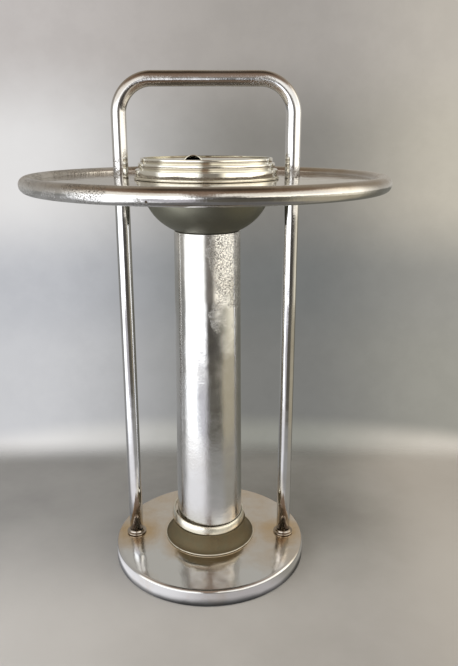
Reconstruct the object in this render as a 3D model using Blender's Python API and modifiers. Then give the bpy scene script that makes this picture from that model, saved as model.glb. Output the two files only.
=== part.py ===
"""Smoker's stand: a weighted round base, a bent tube frame that ends in a carrying handle,
a tubular column with a loose foot ring, a round tray, and an ash receiver whose stepped cover
lifts off. Metres, +Z up, origin at the centre of the base's underside, the two uprights on X.
"""
import math

import bmesh
import bpy
from mathutils import Matrix, Vector

MM = 0.001
GAP = 0.3 * MM                     # left between pieces that touch
SLIP = 0.4 * MM                    # between the frame's tube and what it slides in or holds
CUT_PAST = 1 * MM                  # how far a cutter runs past the face it cuts
OBJECT_NAME = "smokers_stand"

# Frame: one bent tube, both ends standing on the base
ROD_SPACING = 182 * MM             # between the uprights' centre lines
TUBE_RADIUS = 8 * MM
TUBE_WALL = 1.2 * MM
HANDLE_TOP = 559 * MM
HANDLE_BEND = 35 * MM              # centre-line radius of the two bends
FERRULE_RIM = 11.9 * MM
FERRULE_HEIGHT = 4.6 * MM
FERRULE_FLARE = (2.6 * MM, 3.2 * MM)        # radii of its hollow curve

# Base
BASE_RADIUS = 114.4 * MM
BASE_TOP = 20.3 * MM               # where the rounded edge ends
BASE_CROWN = 2 * MM                # how much the middle stands above that
BASE_EDGE = 4.2 * MM
BASE_WALL = 1.2 * MM
PAD_THICKNESS = 2 * MM
PAD_PROUD = 0.8 * MM               # how far the pad stands out of the shell
WEIGHT_CLEARANCE = 0.7 * MM        # between the weight's edge and the shell
PAD_INSET = 1 * MM                 # the pad is this much smaller than the weight

# Column, its foot pressing and the loose ring
COLUMN_TOP_RADIUS = 36.1 * MM
COLUMN_FOOT_RADIUS = 39.1 * MM
COLUMN_TOP = 396.2 * MM
COLUMN_WALL = 1.2 * MM
FOOT_FLANGE_RADIUS = 53.9 * MM
FOOT_FLANGE = 1.7 * MM             # thickness of its lip
FOOT_FLARE_RADIUS = 53 * MM        # where the flare runs out into the flange
FOOT_SHOULDER_RADIUS = 43.8 * MM
FOOT_SHOULDER = 42.5 * MM
FOOT_SPIGOT_RADIUS = 37.2 * MM
FOOT_SPIGOT_TOP = 50.5 * MM
FOOT_SPIGOT_EDGE = 1 * MM
RING_LOW_RADIUS = 44 * MM                  # the ring is a skirt, wider at the bottom
RING_TOP_RADIUS = 42 * MM
RING_WALL = 1.2 * MM
RING_HEIGHT = 9.6 * MM
RING_EDGE = 0.4 * MM
RING_SHIFT = Vector((-1.87, 0.47, 0)) * MM    # it is loose: it lies off centre and tipped
RING_TIP = (math.radians(4.4), math.radians(3.0), 0)    # front down, right side down

# Tray
TRAY_RADIUS = 184.8 * MM           # centre line of the tray's tube
TRAY_TUBE_RADIUS = 8.2 * MM
TRAY_TUBE_BORE = 6.8 * MM
TRAY_CENTRE = 448 * MM
PAN_TOP = 451 * MM
PAN_WALL = 1 * MM
PAN_EDGE = 1 * MM
PAN_SKIRT = 3 * MM                 # its turned-down edge ends this far below the tube's centre
PAN_RADIUS = 175.9 * MM
PAN_HOLE_RADIUS = 70.6 * MM
PAN_SEAT_RADIUS = 77.8 * MM        # the pan is pressed down a little inside this, under the bowl
PAN_SEAT = 0.2 * MM
VENT_RADIUS = 1.25 * MM
VENT_BEARING = math.radians(12.8)  # left of straight ahead
VENT_DROP = math.radians(27)       # below level

# Ash receiver
BOWL_RADIUS = 69.4 * MM
BOWL_SHOULDER = 450 * MM
BOWL_DEPTH = 59.9 * MM
BOWL_FULLNESS = 2.2                # 2 would be an ellipse
BOWL_FLANGE_RADIUS = 76.8 * MM
BOWL_LIP = 2.3 * MM
BOWL_NECK = 0.5 * MM               # step from the bowl's side out to its flange
BOWL_SEAT = 0.9 * MM               # the washer stands this far off the bowl's floor
SHEET = 1 * MM
COVER_STEPS = (                    # outer radius and top of each step, from the top down
    (69.7 * MM, 472.6 * MM),
    (72.2 * MM, 467.5 * MM),
    (75.2 * MM, 461.1 * MM),
)
COVER_SHEET = 0.9 * MM
COVER_EDGE = 0.8 * MM
COVER_CURL_RADIUS = 67.4 * MM
DISH_RADIUS = 68.3 * MM
DISH_CENTRE = 466 * MM
DISH_RISE = 5.3 * MM
DROP_HOLE = Vector((-15, 14, 0)) * MM
DROP_HOLE_RADIUS = 9 * MM
HOOD_RADIUS = 10.3 * MM
HOOD_BASE = 467.3 * MM
HOOD_TOP = 475.2 * MM

# Fasteners
TIE_ROD_RADIUS = 4 * MM
TIE_ROD_HOLE = 4.6 * MM
SCREW_RADIUS = 2.9 * MM
SCREW_HOLE = 3.4 * MM
SCREW_HEAD_RADIUS = 5.8 * MM
SCREW_HEAD_HEIGHT = 3.4 * MM
SCREW_SLOT_WIDTH = 1.3 * MM
SCREW_SLOT_DEPTH = 1.3 * MM
SCREW_SHORT_OF_THREAD = 2 * MM
PLUG_LENGTH = 26 * MM
PLUG_THREAD_DEPTH = 20 * MM
NUT_RADIUS = 7.3 * MM              # to the corners
NUT_HEIGHT = 6 * MM
WASHER = 1.4 * MM
BIG_WASHER_RADIUS = 11 * MM
SMALL_WASHER_RADIUS = 7.2 * MM
BIG_POCKET_RADIUS = 12.5 * MM
BIG_POCKET_TOP = 12 * MM
SMALL_POCKET_RADIUS = 8 * MM
SMALL_POCKET_TOP = 8.3 * MM
GRUB_RADIUS = 1.8 * MM
GRUB_TIP_GAP = 0.5 * MM
THREAD_PAST_NUT = 1 * MM
TRAY_COLLAR_RADIUS = 12.5 * MM
TRAY_COLLAR_HEIGHT = 9.2 * MM
TRAY_COLLAR_EDGE = 0.6 * MM

WIDE_STEPS = 64
ROUND_STEPS = 40
SMALL_STEPS = 16

SIDES = {"left": -1, "right": 1}


# Scene, collections and materials

def clear_scene():
    for thing in list(bpy.data.objects):
        bpy.data.objects.remove(thing, do_unlink=True)


def new_collection(name):
    group = bpy.data.collections.new(name)
    bpy.context.scene.collection.children.link(group)
    return group


def finish(name, color, roughness, metallic):
    material = bpy.data.materials.new(name)
    material.use_nodes = True
    shader = material.node_tree.nodes["Principled BSDF"]
    shader.inputs["Base Color"].default_value = (*color, 1)
    shader.inputs["Roughness"].default_value = roughness
    shader.inputs["Metallic"].default_value = metallic
    return material


clear_scene()
PARTS = new_collection(OBJECT_NAME)
CUTTERS = new_collection(OBJECT_NAME + "_cutters")

TUBE_CHROME = finish("tube_chrome", (0.74, 0.73, 0.71), 0.12, 1)
TRAY_CHROME = finish("tray_chrome", (0.56, 0.52, 0.47), 0.16, 1)
COLUMN_CHROME = finish("column_chrome", (0.72, 0.72, 0.71), 0.14, 1)
BASE_CHROME = finish("base_chrome", (0.63, 0.60, 0.56), 0.15, 1)
COVER_NICKEL = finish("cover_nickel", (0.75, 0.73, 0.64), 0.18, 1)
BOWL_STEEL = finish("bowl_steel", (0.33, 0.34, 0.28), 0.42, 1)
FOOT_TARNISH = finish("foot_tarnish", (0.30, 0.27, 0.18), 0.40, 1)
RING_NICKEL = finish("ring_nickel", (0.78, 0.76, 0.67), 0.20, 1)
FASTENER_STEEL = finish("fastener_steel", (0.45, 0.45, 0.44), 0.40, 1)
CAST_IRON = finish("cast_iron", (0.10, 0.10, 0.10), 0.75, 1)
FELT = finish("felt", (0.05, 0.10, 0.06), 0.95, 0)


# Shapes

def add(name, data, material, place=(0, 0, 0)):
    piece = bpy.data.objects.new(name, data)
    piece.location = place
    data.materials.append(material)
    PARTS.objects.link(piece)
    return piece


def smooth(data):
    data.shade_smooth()
    data.set_sharp_from_angle(angle=math.radians(35))


def from_bmesh(name, bm, material, place=(0, 0, 0)):
    mesh = bpy.data.meshes.new(name)
    bm.to_mesh(mesh)
    bm.free()
    smooth(mesh)
    return add(name, mesh, material, place)


def outline_mesh(name, outline, closed):
    """The outline's (radius, height) points as a chain of edges in the XZ plane."""
    bm = bmesh.new()
    points = [bm.verts.new((radius, 0, height)) for radius, height in outline]
    for first, second in zip(points, points[1:]):
        bm.edges.new((first, second))
    if closed:
        bm.edges.new((points[-1], points[0]))
    mesh = bpy.data.meshes.new(name)
    bm.to_mesh(mesh)
    bm.free()
    return mesh


def turned(name, outline, material, place=(0, 0, 0), steps=ROUND_STEPS, closed=False, wall=0):
    """A round piece. Its outline runs down the outer side; a wall makes a sheet piece of it."""
    piece = add(name, outline_mesh(name, outline, closed), material, place)
    screw = piece.modifiers.new("turn", "SCREW")
    screw.axis = "Z"
    screw.steps = steps
    screw.render_steps = steps
    screw.use_merge_vertices = True
    screw.merge_threshold = 1e-6
    screw.use_smooth_shade = True
    if wall:
        sheet = piece.modifiers.new("wall", "SOLIDIFY")
        sheet.thickness = wall
        sheet.offset = -1
        sheet.use_even_offset = True
    return piece


def rod_of(radius, low, high, steps=SMALL_STEPS):
    """A bmesh cylinder on Z between two heights."""
    bm = bmesh.new()
    bmesh.ops.create_cone(
        bm, cap_ends=True, segments=steps, radius1=radius, radius2=radius, depth=high - low,
        matrix=Matrix.Translation((0, 0, (low + high) / 2)),
    )
    return bm


def as_cutter(name, bm, place=(0, 0, 0)):
    mesh = bpy.data.meshes.new(name)
    bm.to_mesh(mesh)
    bm.free()
    cutter = bpy.data.objects.new(name, mesh)
    cutter.location = place
    cutter.hide_render = True
    cutter.display_type = "WIRE"
    CUTTERS.objects.link(cutter)
    return cutter


def cut(piece, cutter):
    boolean = piece.modifiers.new(cutter.name, "BOOLEAN")
    boolean.operation = "DIFFERENCE"
    boolean.solver = "EXACT"
    boolean.object = cutter


def cut_hole(piece, label, radius, low, high, place=(0, 0, 0), steps=SMALL_STEPS):
    cut(piece, as_cutter(f"{piece.name}_{label}", rod_of(radius, low, high, steps), place))


def arc(centre, radii, start, end, count):
    """Points of an elliptic arc, angles in degrees from the outward direction."""
    points = []
    for step in range(count + 1):
        angle = math.radians(start + (end - start) * step / count)
        points.append((centre[0] + radii[0] * math.cos(angle),
                       centre[1] + radii[1] * math.sin(angle)))
    return points


def washer(name, radius, hole, low, place=(0, 0, 0)):
    high = low + WASHER
    outline = [(hole, high), (radius, high), (radius, low), (hole, low)]
    return turned(name, outline, FASTENER_STEEL, place, SMALL_STEPS, closed=True)


def hex_nut(name, low):
    nut = from_bmesh(name, rod_of(NUT_RADIUS, low, low + NUT_HEIGHT, 6), FASTENER_STEEL)
    cut_hole(nut, "thread", TIE_ROD_RADIUS + GAP, low - CUT_PAST, low + NUT_HEIGHT + CUT_PAST)
    return nut


# Base

def base_top(radius):
    """Height of the shell's crowned top."""
    return BASE_TOP + BASE_CROWN * (1 - (radius / (BASE_RADIUS - BASE_EDGE)) ** 2)


def base():
    crown_steps = 5
    crown = []
    for step in range(crown_steps):
        radius = TIE_ROD_HOLE + (BASE_RADIUS - BASE_EDGE - TIE_ROD_HOLE) * step / crown_steps
        crown.append((radius, base_top(radius)))
    shell = turned(
        "base_shell",
        crown
        + arc((BASE_RADIUS - BASE_EDGE, BASE_TOP - BASE_EDGE), (BASE_EDGE, BASE_EDGE), 90, 0, 3)
        + [(BASE_RADIUS, PAD_PROUD)],
        BASE_CHROME, steps=WIDE_STEPS, wall=BASE_WALL,
    )
    bottom = PAD_THICKNESS + GAP
    top = BASE_TOP - BASE_WALL - GAP
    radius = BASE_RADIUS - BASE_WALL - WEIGHT_CLEARANCE
    weight = turned(
        "base_weight",
        [
            (TIE_ROD_HOLE, top), (radius - BASE_EDGE, top), (radius, top - BASE_EDGE),
            (radius, bottom), (BIG_POCKET_RADIUS, bottom), (BIG_POCKET_RADIUS, BIG_POCKET_TOP),
            (TIE_ROD_HOLE, BIG_POCKET_TOP),
        ],
        CAST_IRON, steps=WIDE_STEPS, closed=True,
    )
    for side, sign in SIDES.items():
        place = (sign * ROD_SPACING / 2, 0, 0)
        cut_hole(shell, side, SCREW_HOLE, top, BASE_TOP + BASE_CROWN, place)
        cut_hole(weight, side, SCREW_HOLE, SMALL_POCKET_TOP - CUT_PAST, top + CUT_PAST, place)
        cut_hole(weight, side + "_pocket", SMALL_POCKET_RADIUS, bottom - CUT_PAST, SMALL_POCKET_TOP,
                 place)
    from_bmesh("base_pad", rod_of(radius - PAD_INSET, 0, PAD_THICKNESS, WIDE_STEPS), FELT)


# Frame, with what holds each upright to the base

def upright_foot():
    """The height that clears the crowned base under the inner side of the ferrule."""
    return base_top(ROD_SPACING / 2 - FERRULE_RIM) + GAP


def handle_frame():
    half = ROD_SPACING / 2
    crossbar = HANDLE_TOP - TUBE_RADIUS
    bend_height = crossbar - HANDLE_BEND
    bend_x = half - HANDLE_BEND
    left = [(x, z) for x, z in arc((-bend_x, bend_height), (HANDLE_BEND, HANDLE_BEND), 180, 90, 6)]
    right = [(-x, z) for x, z in reversed(left)]
    foot = upright_foot()
    route = [(-half, foot)] + left + right + [(half, foot)]

    curve = bpy.data.curves.new("handle_frame", "CURVE")
    curve.dimensions = "3D"
    curve.bevel_depth = TUBE_RADIUS
    curve.bevel_resolution = 6
    spline = curve.splines.new("POLY")
    spline.points.add(len(route) - 1)
    for point, (x, z) in zip(spline.points, route):
        point.co = (x, 0, z, 1)
    tube = add("handle_frame", curve, TUBE_CHROME)
    wall = tube.modifiers.new("wall", "SOLIDIFY")
    wall.thickness = TUBE_WALL
    wall.offset = -1


def upright_fittings(side, sign):
    """The ferrule round the tube's end, and the plug, washer and screw that hold it down."""
    place = (sign * ROD_SPACING / 2, 0, 0)
    low = upright_foot()
    bore = TUBE_RADIUS + SLIP
    flare = arc((FERRULE_RIM, low + FERRULE_HEIGHT), FERRULE_FLARE, 180, 270, 3)
    turned(f"{side}_ferrule", [(bore, flare[0][1])] + flare + [(FERRULE_RIM, low), (bore, low)],
           TUBE_CHROME, place, SMALL_STEPS, closed=True)

    plug_radius = TUBE_RADIUS - TUBE_WALL - SLIP
    plug_top = low + PLUG_LENGTH
    thread_top = low + PLUG_THREAD_DEPTH
    thread = SCREW_RADIUS + GAP
    turned(
        f"{side}_rod_plug",
        [
            (0, plug_top), (plug_radius, plug_top), (plug_radius, low), (thread, low),
            (thread, thread_top), (0, thread_top),
        ],
        FASTENER_STEEL, place, SMALL_STEPS,
    )

    washer_low = SMALL_POCKET_TOP - GAP - WASHER
    washer(f"{side}_rod_washer", SMALL_WASHER_RADIUS, SCREW_HOLE, washer_low, place)

    head_top = washer_low - GAP
    head_low = head_top - SCREW_HEAD_HEIGHT
    screw_top = thread_top - SCREW_SHORT_OF_THREAD
    screw = turned(
        f"{side}_rod_screw",
        [
            (0, screw_top), (SCREW_RADIUS, screw_top), (SCREW_RADIUS, head_top),
            (SCREW_HEAD_RADIUS, head_top), (SCREW_HEAD_RADIUS, head_low), (0, head_low),
        ],
        FASTENER_STEEL, place, SMALL_STEPS,
    )
    slot = bmesh.new()
    bmesh.ops.create_cube(slot, size=1, matrix=Matrix.Diagonal(
        (3 * SCREW_HEAD_RADIUS, SCREW_SLOT_WIDTH, 2 * SCREW_SLOT_DEPTH, 1)))
    cut(screw, as_cutter(f"{side}_rod_screw_slot", slot, (place[0], 0, head_low)))


# Column

def column():
    low = base_top(FOOT_FLANGE_RADIUS - COLUMN_WALL) + GAP
    flange_top = low + FOOT_FLANGE
    flare_radii = (FOOT_FLARE_RADIUS - FOOT_SHOULDER_RADIUS, FOOT_SHOULDER - flange_top)
    turned(
        "column_foot",
        [
            (TIE_ROD_HOLE, FOOT_SPIGOT_TOP),
            (FOOT_SPIGOT_RADIUS - FOOT_SPIGOT_EDGE, FOOT_SPIGOT_TOP),
            (FOOT_SPIGOT_RADIUS, FOOT_SPIGOT_TOP - FOOT_SPIGOT_EDGE),
            (FOOT_SPIGOT_RADIUS, FOOT_SHOULDER),
        ]
        + arc((FOOT_FLARE_RADIUS, FOOT_SHOULDER), flare_radii, 180, 270, 6)
        + [(FOOT_FLANGE_RADIUS, flange_top), (FOOT_FLANGE_RADIUS, low)],
        FOOT_TARNISH, wall=BASE_WALL,
    )
    turned(
        "column_tube",
        [(COLUMN_TOP_RADIUS, COLUMN_TOP), (COLUMN_FOOT_RADIUS, FOOT_SHOULDER + GAP)],
        COLUMN_CHROME, wall=COLUMN_WALL,
    )
    tip = math.hypot(*RING_TIP)
    ring_low = FOOT_SHOULDER + GAP + RING_LOW_RADIUS * math.sin(tip)
    ring = turned(
        "foot_ring",
        [
            (RING_TOP_RADIUS - RING_WALL, RING_HEIGHT - RING_EDGE),
            (RING_TOP_RADIUS - RING_WALL + RING_EDGE, RING_HEIGHT),
            (RING_TOP_RADIUS - RING_EDGE, RING_HEIGHT),
            (RING_TOP_RADIUS, RING_HEIGHT - RING_EDGE),
            (RING_LOW_RADIUS, RING_EDGE), (RING_LOW_RADIUS - RING_EDGE, 0),
            (RING_LOW_RADIUS - RING_WALL, 0),
        ],
        RING_NICKEL, RING_SHIFT + Vector((0, 0, ring_low)), closed=True,
    )
    ring.rotation_euler = RING_TIP


def tie_rod():
    """The rod through the column, with a nut and washer under the base and in the bowl."""
    base_washer_low = BIG_POCKET_TOP - GAP - WASHER
    washer("base_washer", BIG_WASHER_RADIUS, TIE_ROD_HOLE, base_washer_low)
    base_nut_low = base_washer_low - GAP - NUT_HEIGHT
    hex_nut("base_nut", base_nut_low)

    bowl_washer_low = BOWL_SHOULDER - BOWL_DEPTH + SHEET + BOWL_SEAT
    washer("bowl_washer", BIG_WASHER_RADIUS, TIE_ROD_HOLE, bowl_washer_low)
    bowl_nut_low = bowl_washer_low + WASHER + GAP
    hex_nut("bowl_nut", bowl_nut_low)

    bm = rod_of(TIE_ROD_RADIUS, base_nut_low - THREAD_PAST_NUT,
                bowl_nut_low + NUT_HEIGHT + 2 * THREAD_PAST_NUT)
    from_bmesh("tie_rod", bm, FASTENER_STEEL)


# Tray

def ring_solid(tube_radius, major_steps, minor_steps):
    """A torus on the tray's centre line: a circle of points spun round Z."""
    bm = bmesh.new()
    circle = bmesh.ops.create_circle(
        bm, segments=minor_steps, radius=tube_radius,
        matrix=Matrix.Translation((TRAY_RADIUS, 0, TRAY_CENTRE)) @ Matrix.Rotation(math.pi / 2, 4, "X"),
    )
    bmesh.ops.spin(
        bm, geom=circle["verts"] + bm.edges[:], axis=(0, 0, 1), angle=2 * math.pi,
        steps=major_steps, use_merge=True,
    )
    bmesh.ops.recalc_face_normals(bm, faces=bm.faces)
    return bm


def tray():
    ring = from_bmesh("tray_ring", ring_solid(TRAY_TUBE_RADIUS, WIDE_STEPS, 12), TRAY_CHROME)
    cut(ring, as_cutter("tray_ring_bore", ring_solid(TRAY_TUBE_BORE, ROUND_STEPS, 8)))
    facing = Vector((
        -math.sin(VENT_BEARING) * math.cos(VENT_DROP),
        -math.cos(VENT_BEARING) * math.cos(VENT_DROP),
        -math.sin(VENT_DROP),
    ))
    level = Vector((-math.sin(VENT_BEARING), -math.cos(VENT_BEARING), 0))
    vent_place = level * TRAY_RADIUS + Vector((0, 0, TRAY_CENTRE)) + facing * TRAY_TUBE_RADIUS
    vent = rod_of(VENT_RADIUS, -3 * MM, 2 * MM, 10)
    bmesh.ops.transform(vent, matrix=facing.to_track_quat("Z", "Y").to_matrix().to_4x4(),
                        verts=vent.verts)
    cut(ring, as_cutter("tray_ring_vent", vent, vent_place))

    pan = turned(
        "tray_pan",
        [
            (PAN_HOLE_RADIUS, PAN_TOP - PAN_SEAT), (PAN_SEAT_RADIUS, PAN_TOP - PAN_SEAT),
            (PAN_SEAT_RADIUS + PAN_SEAT, PAN_TOP),
            (PAN_RADIUS - PAN_EDGE, PAN_TOP), (PAN_RADIUS, PAN_TOP - PAN_EDGE),
            (PAN_RADIUS, TRAY_CENTRE - PAN_SKIRT),
        ],
        TRAY_CHROME, steps=WIDE_STEPS, wall=PAN_WALL,
    )
    for side, sign in SIDES.items():
        place = Vector((sign * ROD_SPACING / 2, 0, 0))
        cut_hole(pan, side, TUBE_RADIUS + SLIP, PAN_TOP - PAN_WALL - CUT_PAST, PAN_TOP + CUT_PAST,
                 place)
        tray_collar(side, sign, place)


def tray_collar(side, sign, place):
    """The stop collar that carries the tray on one upright, and its grub screw."""
    high = PAN_TOP - PAN_WALL - GAP
    low = high - TRAY_COLLAR_HEIGHT
    bore = TUBE_RADIUS + SLIP
    edge = TRAY_COLLAR_EDGE
    radius = TRAY_COLLAR_RADIUS
    collar = turned(
        f"{side}_tray_collar",
        [
            (bore, high), (radius - edge, high), (radius, high - edge), (radius, low + edge),
            (radius - edge, low), (bore, low),
        ],
        FASTENER_STEEL, place, SMALL_STEPS, closed=True,
    )
    outward = Matrix.Rotation(sign * math.pi / 2, 4, "Y")
    middle = place + Vector((0, 0, (low + high) / 2))
    hole = rod_of(GRUB_RADIUS + GAP, TUBE_RADIUS - CUT_PAST, radius + CUT_PAST, 12)
    bmesh.ops.transform(hole, matrix=outward, verts=hole.verts)
    cut(collar, as_cutter(f"{side}_tray_collar_thread", hole, middle))

    grub = rod_of(GRUB_RADIUS, TUBE_RADIUS + GRUB_TIP_GAP, radius, 12)
    bmesh.ops.transform(grub, matrix=outward, verts=grub.verts)
    from_bmesh(f"{side}_grub_screw", grub, FASTENER_STEEL, middle)


# Ash receiver

def bowl():
    """A full, flat-bottomed bowl: its side is a superellipse under a straight shoulder."""
    flange = PAN_TOP + GAP
    side = []
    count = 9
    for step in range(count + 1):
        angle = math.pi / 2 * step / count
        radius = BOWL_RADIUS * math.cos(angle) ** (2 / BOWL_FULLNESS)
        drop = BOWL_DEPTH * math.sin(angle) ** (2 / BOWL_FULLNESS)
        side.append((max(radius, TIE_ROD_HOLE), BOWL_SHOULDER - drop))
    turned(
        "receiver_bowl",
        [
            (BOWL_FLANGE_RADIUS, flange + BOWL_LIP), (BOWL_FLANGE_RADIUS, flange),
            (BOWL_RADIUS + BOWL_NECK, flange),
        ] + side,
        BOWL_STEEL, wall=SHEET,
    )


def cover():
    """The stepped collar, the dished plate crimped in its rim, and the hood over the hole."""
    outline = [(COVER_CURL_RADIUS, COVER_STEPS[0][1])]
    floors = [top for _, top in COVER_STEPS[1:]] + [PAN_TOP + SHEET + 2 * GAP]
    for (radius, top), floor in zip(COVER_STEPS, floors):
        outline += arc((radius - COVER_EDGE, top - COVER_EDGE), (COVER_EDGE, COVER_EDGE), 90, 0, 1)
        outline.append((radius, floor))
    turned("cover_collar", outline, COVER_NICKEL, wall=COVER_SHEET)

    rings = 5
    dish = []
    for step in range(rings + 1):
        radius = DISH_RADIUS * step / rings
        dish.append((radius, DISH_CENTRE + DISH_RISE * (radius / DISH_RADIUS) ** 2))
    plate = turned("cover_plate", dish, COVER_NICKEL, wall=COVER_SHEET)
    cut_hole(plate, "drop_hole", DROP_HOLE_RADIUS, DISH_CENTRE - COVER_SHEET - CUT_PAST,
             DISH_CENTRE + DISH_RISE, DROP_HOLE)

    hood = bmesh.new()
    bmesh.ops.create_uvsphere(hood, u_segments=16, v_segments=8, radius=HOOD_RADIUS)
    for normal in ((0, 0, 1), (0, 1, 0)):
        bmesh.ops.bisect_plane(hood, geom=hood.verts[:] + hood.edges[:] + hood.faces[:],
                               dist=1e-7, plane_co=(0, 0, 0), plane_no=normal, clear_inner=True)
    bmesh.ops.scale(hood, vec=(1, 1, (HOOD_TOP - HOOD_BASE) / HOOD_RADIUS), verts=hood.verts)
    piece = from_bmesh("drop_hood", hood, COVER_NICKEL, DROP_HOLE + Vector((0, 0, HOOD_BASE)))
    wall = piece.modifiers.new("wall", "SOLIDIFY")
    wall.thickness = SHEET
    wall.offset = -1
    wall.use_even_offset = True


base()
handle_frame()
for which, direction in SIDES.items():
    upright_fittings(which, direction)
column()
tie_rod()
tray()
bowl()
cover()
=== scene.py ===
"""Looks of the smoker's stand: worn chrome, a dull bowl and a tarnished foot, in studio light."""
import math

import bmesh
import bpy
from mathutils import Matrix, Vector


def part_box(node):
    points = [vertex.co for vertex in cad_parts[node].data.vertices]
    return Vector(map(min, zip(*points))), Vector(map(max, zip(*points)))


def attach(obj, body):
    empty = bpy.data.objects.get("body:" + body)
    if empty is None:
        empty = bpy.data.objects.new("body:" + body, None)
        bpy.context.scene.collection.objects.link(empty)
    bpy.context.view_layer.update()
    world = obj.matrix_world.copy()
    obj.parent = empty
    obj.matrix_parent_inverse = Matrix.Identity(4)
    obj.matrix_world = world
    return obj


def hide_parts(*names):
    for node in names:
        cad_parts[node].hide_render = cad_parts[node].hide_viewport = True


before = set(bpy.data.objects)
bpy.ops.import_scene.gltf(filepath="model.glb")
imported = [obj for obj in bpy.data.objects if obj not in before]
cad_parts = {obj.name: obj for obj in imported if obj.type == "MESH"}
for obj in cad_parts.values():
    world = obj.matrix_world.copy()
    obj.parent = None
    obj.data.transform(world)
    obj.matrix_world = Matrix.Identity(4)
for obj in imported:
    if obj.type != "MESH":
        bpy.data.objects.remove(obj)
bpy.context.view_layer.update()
MM = 0.001
TURN = 2 * math.pi
FINE = 160                         # steps round a wide piece
MEDIUM = 64                        # steps round a small piece


# Places and sizes, read from the frame

def radius_of(node):
    low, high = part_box(node)
    return (high[0] - low[0]) / 2


def low_of(node):
    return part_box(node)[0][2]


def high_of(node):
    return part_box(node)[1][2]


FLOOR = low_of("base_pad")
BASE_RADIUS = radius_of("base_shell")
BASE_EDGE = 4.2 * MM
BASE_CROWN = 2 * MM                # how much the middle of the base stands above its edge
BASE_TOP = high_of("base_shell") - BASE_CROWN
TUBE_RADIUS = (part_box("handle_frame")[1][1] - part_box("handle_frame")[0][1]) / 2
TUBE_X = radius_of("handle_frame") - TUBE_RADIUS
HANDLE_Z = high_of("handle_frame") - TUBE_RADIUS
RING_TUBE = (high_of("tray_ring") - low_of("tray_ring")) / 2
RING_MAJOR = radius_of("tray_ring") - RING_TUBE
RING_Z = low_of("tray_ring") + RING_TUBE
PAN_Z = high_of("tray_pan")
FOOT_RADIUS = radius_of("column_foot")
FOOT_SHOULDER = low_of("column_tube") - 0.3 * MM
HOOD_LOW, HOOD_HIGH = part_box("drop_hood")
HOOD_REACH = (HOOD_HIGH[0] - HOOD_LOW[0]) / 2
HOOD_RISE = HOOD_HIGH[2] - HOOD_LOW[2]
HOOD_PLACE = Vector((HOOD_LOW[0] + HOOD_REACH, HOOD_LOW[1], HOOD_LOW[2]))
WALL = 1.2 * MM                    # tube and pressed sheet
THIN_WALL = 0.9 * MM               # the foot and the receiver's cover
COLLAR_PLAY = 0.1 * MM             # between a tube and the collar round it
ROD_HOLE = 4.6 * MM                # radius of the holes for the tie rod
SIDES = {"left": -1, "right": 1}


# Making meshes

def arc(centre, radii, start, end, count):
    """Points of an elliptic arc, angles in degrees from the outward direction."""
    points = []
    for step in range(count + 1):
        angle = math.radians(start + (end - start) * step / count)
        points.append((centre[0] + radii[0] * math.cos(angle),
                       centre[1] + radii[1] * math.sin(angle)))
    return points


def corner(r, z, size, start, end, count=5):
    """A rounded corner: (r, z) is where its two sides would have met."""
    turn_r = 1 if math.cos(math.radians((start + end) / 2)) > 0 else -1
    turn_z = 1 if math.sin(math.radians((start + end) / 2)) > 0 else -1
    return arc((r - turn_r * size, z - turn_z * size), (size, size), start, end, count)


def place_in_scene(name, bm, material, body, nodes, place=(0, 0, 0), sharp=40):
    """Closes the bmesh, puts it in its place, parents it to its body and hides the CAD parts it stands in
    for.
    """
    bmesh.ops.remove_doubles(bm, verts=bm.verts, dist=1e-6)
    bmesh.ops.recalc_face_normals(bm, faces=bm.faces)
    bmesh.ops.translate(bm, vec=place, verts=bm.verts)
    mesh = bpy.data.meshes.new(name)
    bm.to_mesh(mesh)
    bm.free()
    mesh.shade_smooth()
    mesh.set_sharp_from_angle(angle=math.radians(sharp))
    piece = bpy.data.objects.new(name, mesh)
    bpy.context.scene.collection.objects.link(piece)
    piece.data.materials.append(material)
    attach(piece, body)
    if nodes:
        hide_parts(*nodes)
    return piece


def spun(outline, steps=FINE, closed=True):
    """Turns an outline of (radius, height) points round Z."""
    bm = bmesh.new()
    chain = [bm.verts.new((r, 0, z)) for r, z in outline]
    ends = list(zip(chain, chain[1:]))
    if closed:
        ends.append((chain[-1], chain[0]))
    edges = [bm.edges.new(pair) for pair in ends]
    bmesh.ops.spin(bm, geom=chain + edges, cent=(0, 0, 0), axis=(0, 0, 1), angle=TURN,
                   steps=steps, use_merge=True)
    return bm


def sheet_section(line, wall):
    """A closed section: the line, and the same line moved a wall's thickness to its right."""
    inner = []
    for index, (r, z) in enumerate(line):
        before = line[max(index - 1, 0)]
        after = line[min(index + 1, len(line) - 1)]
        first = Vector((r - before[0], z - before[1]))
        second = Vector((after[0] - r, after[1] - z))
        first = first.normalized() if first.length else second.normalized()
        second = second.normalized() if second.length else first
        across = Vector((first.y + second.y, -first.x - second.x)).normalized()
        reach = wall / max(across.dot(Vector((second.y, -second.x))), 0.5)
        inner.append((r + across.x * reach, z + across.y * reach))
    return line + inner[::-1]


def rounded_washer(bore, radius, low, high, soft):
    """The section of a flat ring whose outer corners are rounded."""
    outline = [(bore, high)] + corner(radius, high, soft, 90, 0)
    return outline + corner(radius, low, soft, 0, -90) + [(bore, low)]


def cylinder(bm, radius, low, high, steps=MEDIUM, matrix=Matrix.Identity(4)):
    bmesh.ops.create_cone(
        bm, cap_ends=True, segments=steps, radius1=radius, radius2=radius, depth=high - low,
        matrix=matrix @ Matrix.Translation((0, 0, (low + high) / 2)),
    )


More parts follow.
